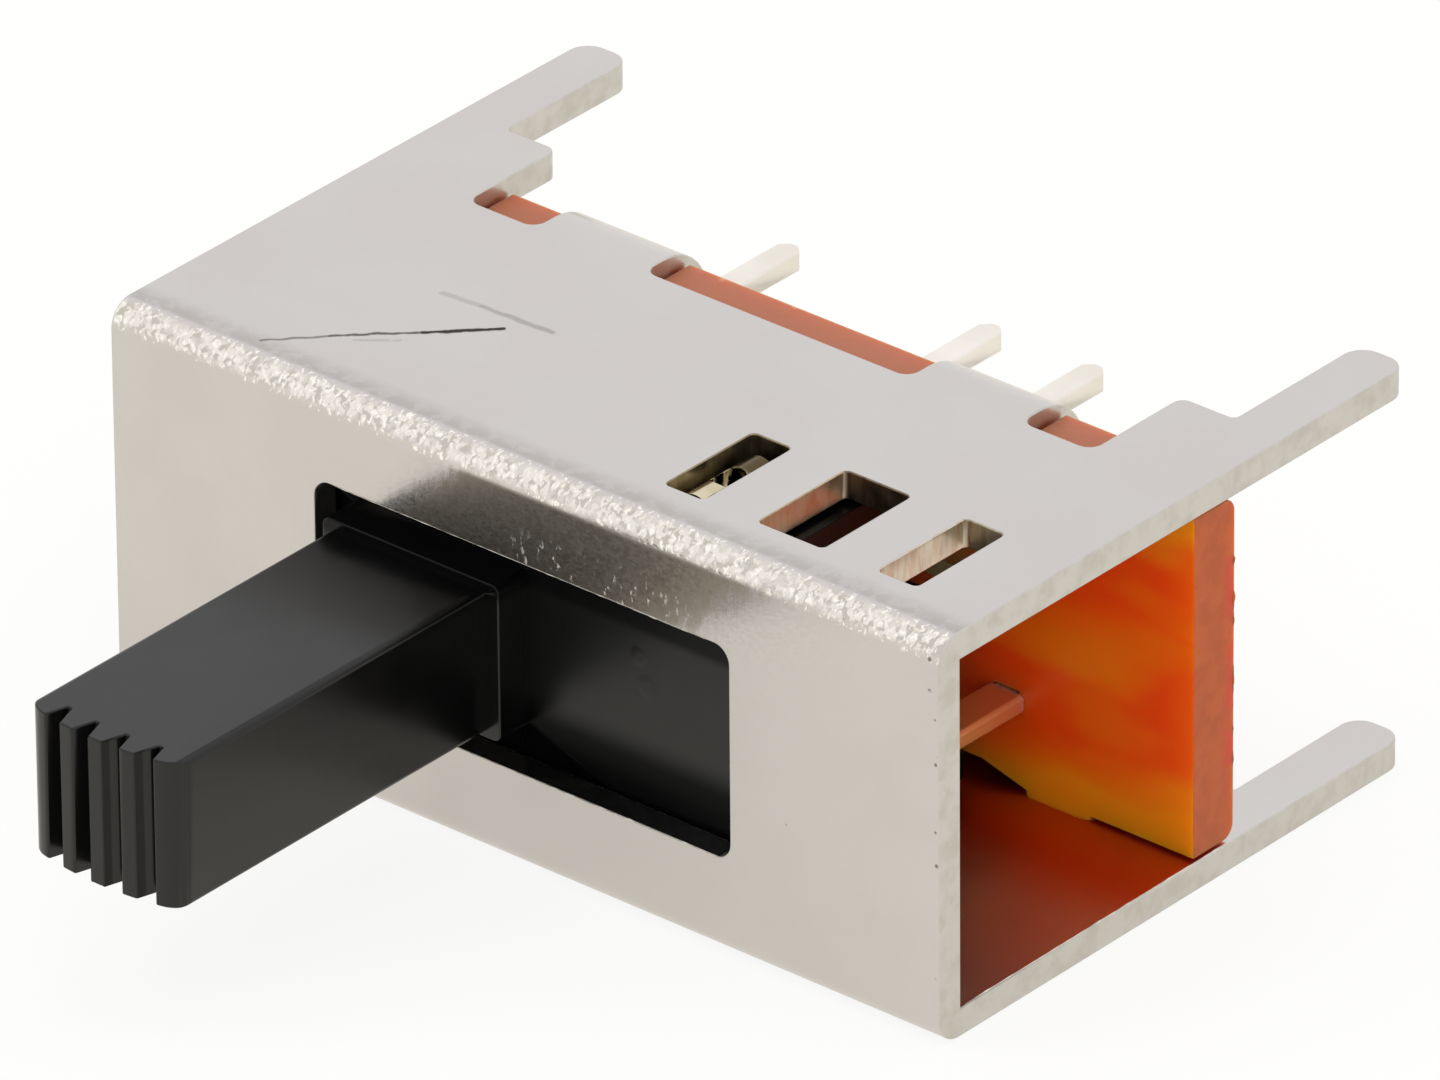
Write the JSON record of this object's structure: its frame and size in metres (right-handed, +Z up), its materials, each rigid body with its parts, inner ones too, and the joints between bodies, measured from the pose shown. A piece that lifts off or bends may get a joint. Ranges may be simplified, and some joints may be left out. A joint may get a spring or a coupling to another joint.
{
  "type": "slide switch",
  "caption": "Slide switch in a bent metal frame, with a long lever grooved at its end, flat solder pins, and legs that hold it on a printed circuit board.",
  "frame": {"origin": "middle of the footprint of the whole switch at rest, on the outer face of the lower side plate that it lies on", "axes": "+X along the lever's travel, towards the end with the three windows; +Y from the lever towards the pins; +Z up, from the lower side plate to the upper one"},
  "size_m": [0.017, 0.019, 0.0072],
  "materials": {
    "frame_steel": "satin plated sheet",
    "base_laminate": "punched laminate with matte edges",
    "slider_plastic": "satin moulded",
    "clip_bronze": "bare spring bronze",
    "spring_steel": "bright",
    "terminal_plating": "plated, satin"
  },
  "bodies": {
    "housing": {"frame": "frame_steel", "terminal_base": "base_laminate", "common_terminal_upper": "terminal_plating", "first_terminal_upper": "terminal_plating", "second_terminal_upper": "terminal_plating", "third_terminal_upper": "terminal_plating", "common_terminal_lower": "terminal_plating", "first_terminal_lower": "terminal_plating", "second_terminal_lower": "terminal_plating", "third_terminal_lower": "terminal_plating"},
    "sliding_part": {"slider": "slider_plastic", "detent_spring": "spring_steel", "contact_clip_upper": "clip_bronze", "contact_clip_lower": "clip_bronze"}
  },
  "joints": [
    {"name": "lever_slide", "type": "slide", "parent": "housing", "child": "sliding_part", "axis": [1, 0, 0], "range_m": [0, 0.0043], "deforming": ["detent_spring"]}
  ]
}
